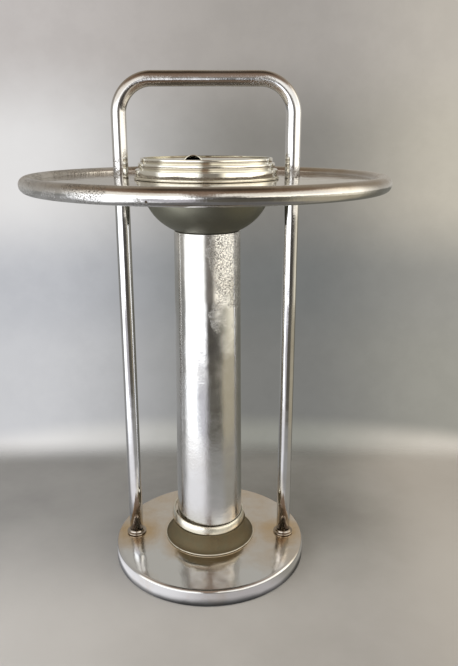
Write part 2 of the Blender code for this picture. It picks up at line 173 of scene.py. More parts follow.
def carve(piece, cutter_bm):
    """Cuts a shape out of a piece and keeps the result as the piece's mesh."""
    mesh = bpy.data.meshes.new("cutter")
    cutter_bm.to_mesh(mesh)
    cutter_bm.free()
    cutter = bpy.data.objects.new("cutter", mesh)
    bpy.context.scene.collection.objects.link(cutter)
    modifier = piece.modifiers.new("carve", "BOOLEAN")
    modifier.operation = "DIFFERENCE"
    modifier.solver = "EXACT"
    modifier.object = cutter
    bpy.context.view_layer.update()
    evaluated = piece.evaluated_get(bpy.context.evaluated_depsgraph_get())
    carved = bpy.data.meshes.new_from_object(evaluated)
    piece.modifiers.clear()
    carved.name = piece.name
    piece.data = carved
    carved.shade_smooth()
    carved.set_sharp_from_angle(angle=math.radians(40))
    bpy.data.objects.remove(cutter)


def give_wall(piece, thickness):
    """Makes a skin into sheet whose outside stays where it is."""
    wall = piece.modifiers.new("wall", "SOLIDIFY")
    wall.thickness = thickness
    wall.offset = -1


# Shader nodes

def new_group(name, inputs, outputs):
    group = bpy.data.node_groups.new(name, "ShaderNodeTree")
    for label, kind, value in inputs:
        socket = group.interface.new_socket(label, in_out="INPUT", socket_type="NodeSocket" + kind)
        if value is not None:
            socket.default_value = value
    for label, kind in outputs:
        group.interface.new_socket(label, in_out="OUTPUT", socket_type="NodeSocket" + kind)
    entry = group.nodes.new("NodeGroupInput")
    leave = group.nodes.new("NodeGroupOutput")
    return group, entry.outputs, leave.inputs


def put(socket, value):
    """Links an output socket to an input, or sets the input's own value."""
    if isinstance(value, bpy.types.NodeSocket):
        socket.node.id_data.links.new(value, socket)
    else:
        socket.default_value = value


def math_node(tree, operation, first, second=0.0, third=0.0, clamp=False):
    node = tree.nodes.new("ShaderNodeMath")
    node.operation = operation
    node.use_clamp = clamp
    for socket, value in zip(node.inputs, (first, second, third)):
        put(socket, value)
    return node.outputs[0]


def vector_node(tree, operation, first):
    node = tree.nodes.new("ShaderNodeVectorMath")
    node.operation = operation
    put(node.inputs[0], first)
    return node


def scaled_by(tree, place, factor):
    node = vector_node(tree, "SCALE", place)
    put(node.inputs["Scale"], factor)
    return node.outputs[0]


def length_of(tree, place):
    return vector_node(tree, "LENGTH", place).outputs["Value"]


def xyz(tree, vector):
    node = tree.nodes.new("ShaderNodeSeparateXYZ")
    put(node.inputs[0], vector)
    return node.outputs


def diagonal(tree, first, second):
    """The length of the line whose two sides are given."""
    squares = [math_node(tree, "POWER", side, 2.0) for side in (first, second)]
    return math_node(tree, "SQRT", math_node(tree, "ADD", *squares))


def ramp(tree, value, low, high, to_low=0.0, to_high=1.0):
    node = tree.nodes.new("ShaderNodeMapRange")
    node.interpolation_type = "SMOOTHSTEP"
    for label, given in (("Value", value), ("From Min", low), ("From Max", high),
                         ("To Min", to_low), ("To Max", to_high)):
        put(node.inputs[label], given)
    return node.outputs["Result"]


def mix_color(tree, factor, first, second, blend="MIX"):
    node = tree.nodes.new("ShaderNodeMix")
    node.data_type = "RGBA"
    node.blend_type = blend
    put(node.inputs["Factor"], factor)
    put(node.inputs[6], first)
    put(node.inputs[7], second)
    return node.outputs[2]


def noise(tree, place, scale, detail=4.0, roughness=0.55):
    node = tree.nodes.new("ShaderNodeTexNoise")
    put(node.inputs["Vector"], place)
    node.inputs["Scale"].default_value = scale
    node.inputs["Detail"].default_value = detail
    node.inputs["Roughness"].default_value = roughness
    return node.outputs["Fac"]


def cells(tree, place, scale, randomness=1.0):
    node = tree.nodes.new("ShaderNodeTexVoronoi")
    put(node.inputs["Vector"], place)
    node.inputs["Scale"].default_value = scale
    node.inputs["Randomness"].default_value = randomness
    return node.outputs["Distance"]


def stretch(tree, place, scale, turn=(0, 0, 0)):
    node = tree.nodes.new("ShaderNodeMapping")
    put(node.inputs["Vector"], place)
    node.inputs["Scale"].default_value = scale
    node.inputs["Rotation"].default_value = turn
    return node.outputs["Vector"]


def object_place(tree):
    return tree.nodes.new("ShaderNodeTexCoord").outputs["Object"]


def use_group(tree, group, **values):
    node = tree.nodes.new("ShaderNodeGroup")
    node.node_tree = group
    for label, value in values.items():
        put(node.inputs[label.replace("_", " ")], value)
    return node.outputs


# Effects that several finishes share

def make_pits():
    """Peppered pits where plate has lifted: a mask, thick in patches and clear between them."""
    group, given, result = new_group(
        "plate_pits",
        [("Place", "Vector", None), ("Amount", "Float", 0.5), ("Size", "Float", 1.0)],
        [("Mask", "Float"), ("Height", "Float")],
    )
    place = scaled_by(group, given["Place"], given["Size"])
    fine = ramp(group, cells(group, place, 900), 0.16, 0.34, 1.0, 0.0)
    coarse = ramp(group, cells(group, place, 360), 0.10, 0.26, 1.0, 0.0)
    crust = ramp(group, noise(group, place, 900, 3.0, 0.7), 0.53, 0.60)
    patch = noise(group, place, 34, 5.0, 0.6)
    reach = math_node(group, "SUBTRACT", 0.86, math_node(group, "MULTIPLY", given["Amount"], 0.5))
    clusters = ramp(group, patch, reach, math_node(group, "ADD", reach, 0.12))
    dots = math_node(group, "MAXIMUM", fine, math_node(group, "MAXIMUM", coarse, crust))
    mask = math_node(group, "MULTIPLY", dots, clusters, clamp=True)
    put(result["Mask"], mask)
    put(result["Height"], math_node(group, "MULTIPLY", mask, -1.0))
    return group


def make_hairlines():
    """Fine polishing scratches in two crossing directions, and a slow waviness of the sheet."""
    group, given, result = new_group(
        "hairlines",
        [("Place", "Vector", None), ("Strength", "Float", 0.5)],
        [("Height", "Float"), ("Haze", "Float")],
    )
    along = noise(group, stretch(group, given["Place"], (1500, 1500, 18)), 1.0, 2.0)
    across = noise(group, stretch(group, given["Place"], (60, 60, 1900), (0.4, 0.2, 0)), 1.0, 2.0)
    lines = math_node(group, "MULTIPLY_ADD", across, 0.5, along)
    put(result["Height"], math_node(group, "MULTIPLY", lines, given["Strength"]))
    smears = noise(group, stretch(group, given["Place"], (26, 26, 9)), 1.0, 6.0, 0.65)
    put(result["Haze"], ramp(group, smears, 0.42, 0.72))
    return group


def make_film():
    """A brown film with a soft, broken edge. The amount says where; the cloud breaks it up."""
    group, given, result = new_group(
        "brown_film",
        [("Place", "Vector", None), ("Amount", "Float", 0.5), ("Cloud", "Float", 14.0)],
        [("Mask", "Float"), ("Speckle", "Float")],
    )
    cloud = noise(group, scaled_by(group, given["Place"], given["Cloud"]), 1.0, 7.0, 0.6)
    put(result["Mask"], math_node(group, "MULTIPLY_ADD", math_node(group, "SUBTRACT", cloud, 0.5), 1.1,
                                  given["Amount"], clamp=True))
    grain = noise(group, given["Place"], 950, 2.0, 0.7)
    put(result["Speckle"], ramp(group, grain, 0.52, 0.70))
    return group


def make_crazing():
    """Plate that has lifted and cracked: small facets that break up the edge of a reflection."""
    group, given, result = new_group(
        "crazing",
        [("Place", "Vector", None), ("Amount", "Float", 0.5)],
        [("Height", "Float"), ("Mask", "Float")],
    )
    grain = noise(group, given["Place"], 520, 3.0, 0.65)
    scaly = cells(group, given["Place"], 430)
    patch = ramp(group, noise(group, given["Place"], 60, 4.0, 0.6), 0.34, 0.62, 0.4, 1.0)
    mask = math_node(group, "MULTIPLY", patch, given["Amount"], clamp=True)
    rough = math_node(group, "MULTIPLY_ADD", scaly, 0.4, grain)
    put(result["Height"], math_node(group, "MULTIPLY", rough, mask))
    put(result["Mask"], mask)
    return group


PITS = make_pits()
HAIRLINES = make_hairlines()
FILM = make_film()
CRAZING = make_crazing()


def new_material(name):
    material = bpy.data.materials.new(name)
    material.use_nodes = True
    tree = material.node_tree
    return material, tree, tree.nodes["Principled BSDF"].inputs


def bump(tree, height, distance, normal=None):
    node = tree.nodes.new("ShaderNodeBump")
    node.inputs["Strength"].default_value = 1.0
    node.inputs["Distance"].default_value = distance
    put(node.inputs["Height"], height)
    if normal is not None:
        put(node.inputs["Normal"], normal)
    return node.outputs["Normal"]


WORN_EDGE = (0.80, 0.76, 0.64, 1)
PIT_COLOR = (0.09, 0.08, 0.065, 1)
WAVE_HEIGHT = 4 * MM
HAIRLINE_DEPTH = 0.02 * MM
CRAZING_HEIGHT = 0.15 * MM
PIT_DEPTH = 0.12 * MM


def here(amount, tree, place):
    """An amount is a number, or a function that works it out from the place."""
    return amount(tree, place) if callable(amount) else amount


def plated(name, metal, film, film_amount, roughness, pit_amount=0.2, pit_size=1.0, haze=0.10,
           film_haze=0.16, scratches=0.6, waviness=0.25, wave_scale=22.0, cloud=14.0,
           crazed=0.15, frosted=None, shine=1.0, bright_edge=None):
    """Worn plate. film_amount, pit_amount and crazed are amounts as here() takes them."""
    material, tree, shader = new_material(name)
    place = object_place(tree)
    cracks = use_group(tree, CRAZING, Place=place, Amount=here(crazed, tree, place))
    stain = use_group(tree, FILM, Place=place, Amount=here(film_amount, tree, place), Cloud=cloud)
    pits = use_group(tree, PITS, Place=place, Amount=here(pit_amount, tree, place), Size=pit_size)
    lines = use_group(tree, HAIRLINES, Place=place, Strength=scratches)

    color = mix_color(tree, stain["Mask"], (*metal, 1), (*film, 1))
    freckles = math_node(tree, "MULTIPLY", stain["Mask"], stain["Speckle"])
    color = mix_color(tree, math_node(tree, "MULTIPLY", freckles, 0.35), color,
                      (*(0.35 * channel for channel in film), 1))
    rough = math_node(tree, "MULTIPLY_ADD", lines["Haze"], haze, roughness)
    rough = math_node(tree, "MULTIPLY_ADD", stain["Mask"], film_haze, rough)
    rough = math_node(tree, "MULTIPLY_ADD", cracks["Mask"], 0.10, rough)
    if frosted is not None:
        rough = math_node(tree, "MULTIPLY_ADD", frosted(tree, place), 0.38, rough)
    if bright_edge is not None:
        edge = bright_edge(tree, place)
        color = mix_color(tree, edge, color, WORN_EDGE)
        rough = math_node(tree, "MULTIPLY_ADD", edge, -0.25, rough, clamp=True)
    color = mix_color(tree, math_node(tree, "MULTIPLY", pits["Mask"], 0.8), color, PIT_COLOR)
    put(shader["Base Color"], color)
    shader["Metallic"].default_value = shine
    put(shader["Roughness"], math_node(tree, "MULTIPLY_ADD", pits["Mask"], 0.35, rough, clamp=True))

    normal = bump(tree, noise(tree, place, wave_scale, 2.0, 0.5), WAVE_HEIGHT * waviness)
    normal = bump(tree, lines["Height"], HAIRLINE_DEPTH, normal)
    normal = bump(tree, cracks["Height"], CRAZING_HEIGHT, normal)
    put(shader["Normal"], bump(tree, pits["Height"], PIT_DEPTH, normal))
    return material


# Where film and pits lie on each piece

def height_band(low, high, inside, outside):
    """An amount that goes from outside to inside as height goes from low to high."""
    def amount(tree, place):
        return ramp(tree, xyz(tree, place)["Z"], low, high, outside, inside)
    return amount


def crown_and_tray_marks(tree, place):
    """Pits crowd on the handle's crossbar and on the uprights just above the tray."""
    height = xyz(tree, place)["Z"]
    crossbar = ramp(tree, height, HANDLE_Z - 0.035, HANDLE_Z - 0.01, 0.28, 0.58)
    above_tray = math_node(tree, "MULTIPLY", ramp(tree, height, PAN_Z - 0.004, PAN_Z + 0.001),
                           ramp(tree, height, PAN_Z + 0.022, PAN_Z + 0.034, 1.0, 0.0))
    return math_node(tree, "MULTIPLY_ADD", above_tray, 0.42, crossbar)


def outside_radius(low, high):
    """A mask that comes up where the distance from the Z axis goes from low to high."""
    def mask(tree, place):
        x, y, _ = xyz(tree, place)
        return ramp(tree, diagonal(tree, x, y), low, high)
    return mask


def frosted_left_end(tree, place):
    """The left end of the tray's hoop has gone satin."""
    cloud = noise(tree, place, 30, 5.0, 0.6)
    edge = math_node(tree, "MULTIPLY_ADD", cloud, 0.05, xyz(tree, place)["X"])
    return ramp(tree, edge, -RING_MAJOR * 0.80, -RING_MAJOR * 0.66, 1.0, 0.0)


def upward_film_and_painted_reflection(tree, place):
    """Browns the faces that look up: a film that also paints in the reflection of the brown ceiling."""
    facing = tree.nodes.new("ShaderNodeNewGeometry").outputs["Normal"]
    return ramp(tree, xyz(tree, facing)["Z"], 0.0, 0.75, 0.08, 0.85)


def hoop_film_and_painted_reflection(tree, place):
    """The brown on the tray's hoop, part film and part painted ceiling reflection, is thinner at its left
    end.
    """
    x = xyz(tree, place)["X"]
    clear_of_left_end = ramp(tree, x, -RING_MAJOR * 0.95, -RING_MAJOR * 0.5, 0.35, 1.0)
    return math_node(tree, "MULTIPLY", upward_film_and_painted_reflection(tree, place), clear_of_left_end)


def hoop_pits(tree, place):
    """Pits thin out from the left of the tray's hoop to its right."""
    return ramp(tree, xyz(tree, place)["X"], -RING_MAJOR * 0.9, RING_MAJOR * 0.7, 0.85, 0.30)


def column_pits(tree, place):
    """Pits crowd in a band down the right front of the column's upper half, and at its top edge."""
    x, _, z = xyz(tree, place)
    upper = ramp(tree, z, 0.20, 0.34)
    right = ramp(tree, x, -0.004, 0.012)
    top_edge = ramp(tree, z, 0.385, 0.393, 0.0, 0.25)
    marked = math_node(tree, "MULTIPLY_ADD", right, 0.55, 0.35)
    return math_node(tree, "MULTIPLY_ADD", upper, marked, math_node(tree, "ADD", top_edge, 0.1))


def base_film(tree, place):
    """Brown round the two ferrules and the foot, over the far side, and clear in front."""
    x, y, z = xyz(tree, place)
    off_rod = math_node(tree, "SUBTRACT", math_node(tree, "ABSOLUTE", x), TUBE_X)
    around_rods = ramp(tree, diagonal(tree, off_rod, y), 0.008, 0.058, 0.95, 0.0)
    around_foot = ramp(tree, length_of(tree, place), 0.056, 0.080, 0.62, 0.0)
    far_side = ramp(tree, y, -0.045, 0.03, 0.0, 0.50)
    right_front = math_node(tree, "MULTIPLY", ramp(tree, x, 0.02, 0.07), ramp(tree, y, -0.095, -0.05))
    total = math_node(tree, "MAXIMUM", around_rods, math_node(tree, "MAXIMUM", far_side, around_foot))
    total = math_node(tree, "MAXIMUM", total, math_node(tree, "MULTIPLY", right_front, 0.42))
    on_top = ramp(tree, z, BASE_TOP - 3 * MM, BASE_TOP - MM)
    return math_node(tree, "MULTIPLY_ADD", total, on_top, -0.02)


# Finishes

BROWN = (0.34, 0.265, 0.185)
RUST = (0.60, 0.45, 0.28)
CHROME = (0.68, 0.68, 0.68)

MATERIALS = {
    "tube": plated("tube_plate", CHROME, BROWN, upward_film_and_painted_reflection, 0.05, pit_amount=crown_and_tray_marks,
                   haze=0.06, film_haze=0.07, crazed=height_band(HANDLE_Z - 0.04, HANDLE_Z, 0.5, 0.2)),
    "ring": plated("ring_plate", (0.67, 0.66, 0.64), BROWN, hoop_film_and_painted_reflection, 0.05, pit_amount=hoop_pits,
                   haze=0.07, film_haze=0.08, waviness=0.3, crazed=0.5, frosted=frosted_left_end),
    "pan": plated("pan_plate", (0.56, 0.53, 0.49), (0.40, 0.32, 0.22), 0.36, 0.06, pit_amount=0.20,
                  haze=0.06, film_haze=0.05, waviness=0.35, wave_scale=12),
    "column": plated("column_plate", (0.68, 0.68, 0.67), (0.50, 0.44, 0.34), 0.10, 0.09,
                     pit_amount=column_pits, haze=0.08, waviness=0.3,
                     crazed=height_band(0.20, 0.32, 0.05, 1.0)),
    "base": plated("base_plate", (0.68, 0.68, 0.67), RUST, base_film, 0.06, pit_amount=0.25,
                   haze=0.07, film_haze=0.14, cloud=34, crazed=0.2),
    "cover": plated("cover_plate_metal", (0.84, 0.82, 0.74), (0.66, 0.60, 0.42), 0.10, 0.05,
                    pit_amount=0.10, haze=0.05, film_haze=0.06, crazed=0.1),
    "loose_ring": plated("loose_ring_metal", (0.88, 0.85, 0.74), (0.62, 0.54, 0.36), 0.12, 0.22,
                         pit_amount=0.2, haze=0.10),
    "bowl": plated("bowl_metal", (0.25, 0.245, 0.195), (0.17, 0.165, 0.12), 0.35, 0.36,
                   pit_amount=0.14, haze=0.12, scratches=1.0,
                   bright_edge=height_band(PAN_Z - 0.2 * MM, PAN_Z + 0.3 * MM, 1.0, 0.0)),
    "foot": plated("foot_metal", (0.115, 0.11, 0.066), (0.175, 0.115, 0.055), 0.42, 0.5,
                   pit_amount=0.62, haze=0.15, cloud=75, crazed=1.0, shine=0.5,
                   bright_edge=outside_radius(FOOT_RADIUS - 1.2 * MM, FOOT_RADIUS + 0.3 * MM)),
    "steel": plated("plain_steel", (0.42, 0.41, 0.39), (0.26, 0.17, 0.10), 0.22, 0.34,
                    pit_amount=0.12, haze=0.12, cloud=90),
    "iron": plated("cast_iron", (0.09, 0.085, 0.08), (0.16, 0.08, 0.04), 0.25, 0.62,
                   pit_amount=0.5, pit_size=0.5, cloud=40),
}


def felt_material():
    material, tree, shader = new_material("pad_felt")
    place = object_place(tree)
    fibres = noise(tree, place, 1400, 6.0, 0.8)
    clumps = noise(tree, place, 160, 4.0, 0.6)
    shade = math_node(tree, "MULTIPLY", fibres, clumps)
    put(shader["Base Color"], mix_color(tree, ramp(tree, shade, 0.1, 0.45), (0.015, 0.035, 0.02, 1),
                                        (0.06, 0.12, 0.07, 1)))
    put(shader["Roughness"], ramp(tree, clumps, 0.2, 0.8, 0.85, 1.0))
    put(shader["Normal"], bump(tree, fibres, 0.0006))
    return material


MATERIALS["felt"] = felt_material()


# Base

def base_top(radius):
    """Height of the base's crowned top at a distance from its middle."""
    return BASE_TOP + BASE_CROWN * (1 - (radius / (BASE_RADIUS - BASE_EDGE)) ** 2)


def make_base_cover():
    low = low_of("base_shell")
    count = 14
    line = []
    for step in range(count):
        radius = ROD_HOLE + (BASE_RADIUS - BASE_EDGE - ROD_HOLE) * step / count
        line.append((radius, base_top(radius)))
    line += corner(BASE_RADIUS, BASE_TOP, BASE_EDGE, 90, 0, 12)
    line += [(BASE_RADIUS, low + 0.4 * MM), (BASE_RADIUS - 0.3 * MM, low)]
    place_in_scene("base_cover", spun(sheet_section(line, WALL)), MATERIALS["base"], "stand",
                   ["base_shell"], sharp=60)


def make_felt_pad():
    pad = radius_of("base_pad")
    soft = 0.6 * MM
    top = high_of("base_pad")
    outline = [(0, top)] + corner(pad, top, soft, 90, 0) + corner(pad, FLOOR, soft, 0, -90) + [(0, FLOOR)]
    place_in_scene("felt_pad", spun(outline, closed=False), MATERIALS["felt"], "stand", ["base_pad"])


# Frame

def make_bent_tube():
    """A circle run up the left upright, round the two bends and down the right one."""
    bend = 35 * MM
    lengths = 8
    foot = low_of("handle_frame")
    bm = bmesh.new()
    ring = bmesh.ops.create_circle(bm, segments=MEDIUM, radius=TUBE_RADIUS,
                                   matrix=Matrix.Translation((-TUBE_X, 0, foot)))["verts"]
    loop = list({edge for vert in ring for edge in vert.link_edges})

    def run(edges, by):
        new = bmesh.ops.extrude_edge_only(bm, edges=edges)["geom"]
        verts = [item for item in new if isinstance(item, bmesh.types.BMVert)]
        bmesh.ops.translate(bm, vec=by, verts=verts)
        return [item for item in new if isinstance(item, bmesh.types.BMEdge)
                and item.verts[0] in verts and item.verts[1] in verts]

    def turn(edges, centre):
        verts = list({vert for edge in edges for vert in edge.verts})
        new = bmesh.ops.spin(bm, geom=verts + edges, cent=centre, axis=(0, 1, 0),
                             angle=math.pi / 2, steps=24)["geom_last"]
        return [item for item in new if isinstance(item, bmesh.types.BMEdge)]

    height = HANDLE_Z - bend - foot
    for _ in range(lengths):
        loop = run(loop, (0, 0, height / lengths))
    loop = turn(loop, (-TUBE_X + bend, 0, HANDLE_Z - bend))
    loop = run(loop, (2 * (TUBE_X - bend), 0, 0))
    loop = turn(loop, (TUBE_X - bend, 0, HANDLE_Z - bend))
    for _ in range(lengths):
        loop = run(loop, (0, 0, -height / lengths))
    tube = place_in_scene("bent_tube", bm, MATERIALS["tube"], "stand", ["handle_frame"])
    give_wall(tube, WALL)


def make_ferrules():
    for side, sign in SIDES.items():
        node = f"{side}_ferrule"
        rim = radius_of(node)
        low = low_of(node)
        high = high_of(node)
        bore = TUBE_RADIUS + COLLAR_PLAY
        outline = [(bore, high)]
        outline += corner(rim - 2.4 * MM, high, 0.4 * MM, 90, 0, 3)
        outline += arc((rim, low + 4.0 * MM), (2.4 * MM, 2.2 * MM), 180, 262, 8)
        outline += corner(rim, low + 1.6 * MM, 0.7 * MM, 90, 0, 5)
        outline += corner(rim, low, 0.5 * MM, 0, -90, 4)
        outline += [(bore, low)]
        place_in_scene(f"{side}_flange", spun(outline, MEDIUM), MATERIALS["tube"], "stand", [node],
                       (sign * TUBE_X, 0, 0))


# Column

def make_column():
    top_z = high_of("column_tube")
    foot_z = low_of("column_tube")
    foot_r = radius_of("column_tube")
    top_r = foot_r - 3.0 * MM
    outline = corner(top_r, top_z, 0.5 * MM, 90, 0, 4)
    outline += [(foot_r, foot_z), (foot_r - WALL, foot_z), (top_r - WALL, top_z)]
    place_in_scene("column", spun(outline), MATERIALS["column"], "stand", ["column_tube"])


def make_foot():
    """A spigot inside the column, a narrow shoulder, a hollow flare and a rolled lip."""
    low = low_of("column_foot")
    shoulder_r = 43.8 * MM
    flare_r = FOOT_RADIUS - 0.9 * MM
    lip = 1.7 * MM
    roll = lip / 2
    spigot = 37.2 * MM
    spigot_top = high_of("column_foot")
    line = [(ROD_HOLE, spigot_top)] + corner(spigot, spigot_top, MM, 90, 0, 4)
    line += [(spigot, FOOT_SHOULDER)] + corner(shoulder_r, FOOT_SHOULDER, 0.4 * MM, 90, 0, 3)
    line += arc((flare_r, FOOT_SHOULDER), (flare_r - shoulder_r, FOOT_SHOULDER - low - lip), 190, 268, 18)
    line += arc((FOOT_RADIUS - roll, low + roll), (roll, roll), 80, -70, 8)
    section = sheet_section(line, THIN_WALL)
    place_in_scene("foot_dome", spun(section), MATERIALS["foot"], "stand", ["column_foot"])


def make_loose_ring():
    """A low skirt that lies on the foot, off centre and tipped to the front and the right."""
    low_r = 44 * MM
    top_r = 42 * MM
    height = 9.6 * MM
    bead = 0.55 * MM
    front_down = math.radians(4.4)
    right_down = math.radians(3.0)
    tip = Matrix.Rotation(right_down, 4, "Y") @ Matrix.Rotation(front_down, 4, "X")
    lift = low_r * math.sin(math.hypot(right_down, front_down))
    centre = Vector((-1.87 * MM, 0.47 * MM, FOOT_SHOULDER + 0.3 * MM + lift))
    outline = arc((top_r - bead, height - bead), (bead, bead), 150, -60, 10)
    outline += [(top_r + 0.05 * MM, height - 2.6 * bead)]
    outline += corner(low_r, 0, 0.4 * MM, 0, -90)
    outline += [(low_r - WALL, 0), (top_r - WALL, height - bead)]
    ring = spun(outline)
    bmesh.ops.transform(ring, matrix=tip, verts=ring.verts)
    place_in_scene("loose_ring", ring, MATERIALS["loose_ring"], "foot_ring", ["foot_ring"], centre)


# Tray

def make_hoop():
    """A tube bent to a hoop, with a small vent hole low on its left front."""
    bm = bmesh.new()
    stand_up = Matrix.Translation((RING_MAJOR, 0, RING_Z)) @ Matrix.Rotation(math.pi / 2, 4, "X")
    bmesh.ops.create_circle(bm, segments=40, radius=RING_TUBE, matrix=stand_up)
    bmesh.ops.spin(bm, geom=bm.verts[:] + bm.edges[:], cent=(0, 0, 0), axis=(0, 0, 1), angle=TURN,
                   steps=240, use_merge=True)
    hoop = place_in_scene("tray_hoop", bm, MATERIALS["ring"], "stand", ["tray_ring"])
    bearing = math.radians(12.8)
    drop = math.radians(27)
    level = Vector((-math.sin(bearing), -math.cos(bearing), 0))
    facing = level * math.cos(drop) - Vector((0, 0, math.sin(drop)))
    vent_at = level * RING_MAJOR + Vector((0, 0, RING_Z)) + facing * RING_TUBE
    matrix = Matrix.Translation(vent_at) @ facing.to_track_quat("Z", "Y").to_matrix().to_4x4()
    vent = bmesh.new()
    cylinder(vent, 1.25 * MM, -4 * MM, 2 * MM, 24, matrix)
    carve(hoop, vent)


def make_pan():
    """A flat sheet with a turned-down edge, a hole for the bowl and two for the uprights."""
    outer = radius_of("tray_pan")
    low = low_of("tray_pan")
    hole = 70.6 * MM
    wall = 1 * MM
    bend = 1.4 * MM
    outline = [(hole, PAN_Z)] + corner(outer, PAN_Z, bend, 90, 0, 6)
    outline += [(outer, low), (outer - wall, low), (outer - wall, PAN_Z - bend),
                (outer - bend, PAN_Z - wall), (hole, PAN_Z - wall)]
    pan = place_in_scene("tray_sheet", spun(outline), MATERIALS["pan"], "stand", ["tray_pan"])
    holes = bmesh.new()
    for sign in SIDES.values():
        cylinder(holes, TUBE_RADIUS + 0.25 * MM, PAN_Z - 4 * MM, PAN_Z + 2 * MM, MEDIUM,
                 Matrix.Translation((sign * TUBE_X, 0, 0)))
    carve(pan, holes)


def make_stop_collars():
    """The collars under the tray, each with a slotted grub screw in its outer side."""
    for side, sign in SIDES.items():
        node = f"{side}_tray_collar"
        radius = radius_of(node)
        low = low_of(node)
        high = high_of(node)
        outline = rounded_washer(TUBE_RADIUS + COLLAR_PLAY, radius, low, high, 0.8 * MM)
        collar = place_in_scene(f"{side}_stop_collar", spun(outline, MEDIUM), MATERIALS["steel"],
                                "stand", [node], (sign * TUBE_X, 0, 0))
        out = Matrix.Translation((sign * TUBE_X, 0, (low + high) / 2)) @ Matrix.Rotation(
            sign * math.pi / 2, 4, "Y")
        thread = bmesh.new()
        cylinder(thread, 2.1 * MM, TUBE_RADIUS - MM, radius + MM, 32, out)
        carve(collar, thread)
        grub = bmesh.new()
        cylinder(grub, 1.8 * MM, TUBE_RADIUS + 0.5 * MM, radius - 0.2 * MM, 32, out)
        screw = place_in_scene(f"{side}_grub", grub, MATERIALS["steel"], "stand",
                               [f"{side}_grub_screw"])
        slot = bmesh.new()
        bmesh.ops.create_cube(slot, size=1, matrix=out @ Matrix.Translation(
            (0, 0, radius)) @ Matrix.Diagonal((0.6 * MM, 5 * MM, 2.4 * MM, 1)))
        carve(screw, slot)


# Ash receiver

def make_bowl():
    flange_r = radius_of("receiver_bowl")
    bottom = low_of("receiver_bowl")
    lip_top = high_of("receiver_bowl")
    flange = PAN_Z + 0.3 * MM
    radius = 69.4 * MM
    shoulder = 450 * MM
    depth = shoulder - bottom
    fullness = 2.2                 # 2 would be an ellipse
    sheet = 1 * MM
    line = corner(flange_r, lip_top, 0.4 * MM, 90, 0, 3) + corner(flange_r, flange, 0.5 * MM, 0, -90, 3)
    line += [(radius + MM, flange)] + arc((radius + MM, flange - MM), (MM, MM), 90, 180, 4)
    count = 40
    for step in range(1, count + 1):
        angle = math.pi / 2 * step / count
        line.append((max(radius * math.cos(angle) ** (2 / fullness), ROD_HOLE),
                     shoulder - depth * math.sin(angle) ** (2 / fullness)))
    place_in_scene("ash_bowl", spun(sheet_section(line, sheet)), MATERIALS["bowl"], "stand",
                   ["receiver_bowl"])


def make_bowl_washer():
    node = "bowl_washer"
    outline = rounded_washer(ROD_HOLE, radius_of(node), low_of(node), high_of(node), 0.4 * MM)
    place_in_scene("bowl_seat_washer", spun(outline, MEDIUM), MATERIALS["steel"], "stand", [node])


def make_bowl_nut():
    """A hexagon nut, whose corners a turned cutter rounds off at both ends."""
    low = low_of("bowl_nut")
    high = high_of("bowl_nut")
    corners = 7.3 * MM             # radius to the hexagon's corners
    flats = corners * 0.87
    clear = corners + 3 * MM
    cut = 0.9 * MM
    nut = bmesh.new()
    cylinder(nut, corners, low, high, 6)
    nut_piece = place_in_scene("bowl_hex_nut", nut, MATERIALS["steel"], "stand", ["bowl_nut"], sharp=20)
    chamfer = spun([(corners, high + MM), (clear, high + MM), (clear, low - MM), (corners, low - MM),
                    (flats, low - MM), (corners, low + cut), (corners, high - cut), (flats, high + MM)],
                   MEDIUM)
    bmesh.ops.recalc_face_normals(chamfer, faces=chamfer.faces)
    carve(nut_piece, chamfer)
    bore = bmesh.new()
    cylinder(bore, 4.1 * MM, low - MM, high + MM, 32)
    carve(nut_piece, bore)


def make_stepped_collar():
    steps = ((69.7 * MM, high_of("cover_collar")), (72.2 * MM, 467.5 * MM), (75.2 * MM, 461.1 * MM))
    low = low_of("cover_collar")
    edge = 0.9 * MM
    groove = 0.35 * MM
    floors = [top for _, top in steps[1:]] + [low]
    line = [(67.4 * MM, steps[0][1] - 0.5 * MM), (67.9 * MM, steps[0][1])]
    for (radius, top), floor in zip(steps, floors):
        line += corner(radius, top, edge, 90, 0, 6) + [(radius, floor + 1.2 * MM)]
        if floor > low:
            line += [(radius - groove, floor + 0.6 * MM), (radius - groove, floor)]
    line.append((radius, low))
    section = sheet_section(line, THIN_WALL)
    place_in_scene("stepped_collar", spun(section), MATERIALS["cover"], "cover", ["cover_collar"])


def make_dished_plate():
    """The plate in the collar, with the hole that ash drops through."""
    rim = radius_of("cover_plate")
    rise = 5.3 * MM
    centre_z = high_of("cover_plate") - rise
    count = 24
    line = []
    for step in range(count + 1):
        radius = rim * step / count
        line.append((radius, centre_z + rise * (radius / rim) ** 2))
    under = [(radius, z - THIN_WALL) for radius, z in reversed(line)]
    plate = place_in_scene("dished_plate", spun(line + under, closed=False), MATERIALS["cover"], "cover",
                           ["cover_plate"])
    hole = bmesh.new()
    cylinder(hole, 9 * MM, centre_z - 4 * MM, centre_z + 4 * MM, MEDIUM,
             Matrix.Translation((HOOD_PLACE.x, HOOD_PLACE.y, 0)))
    carve(plate, hole)


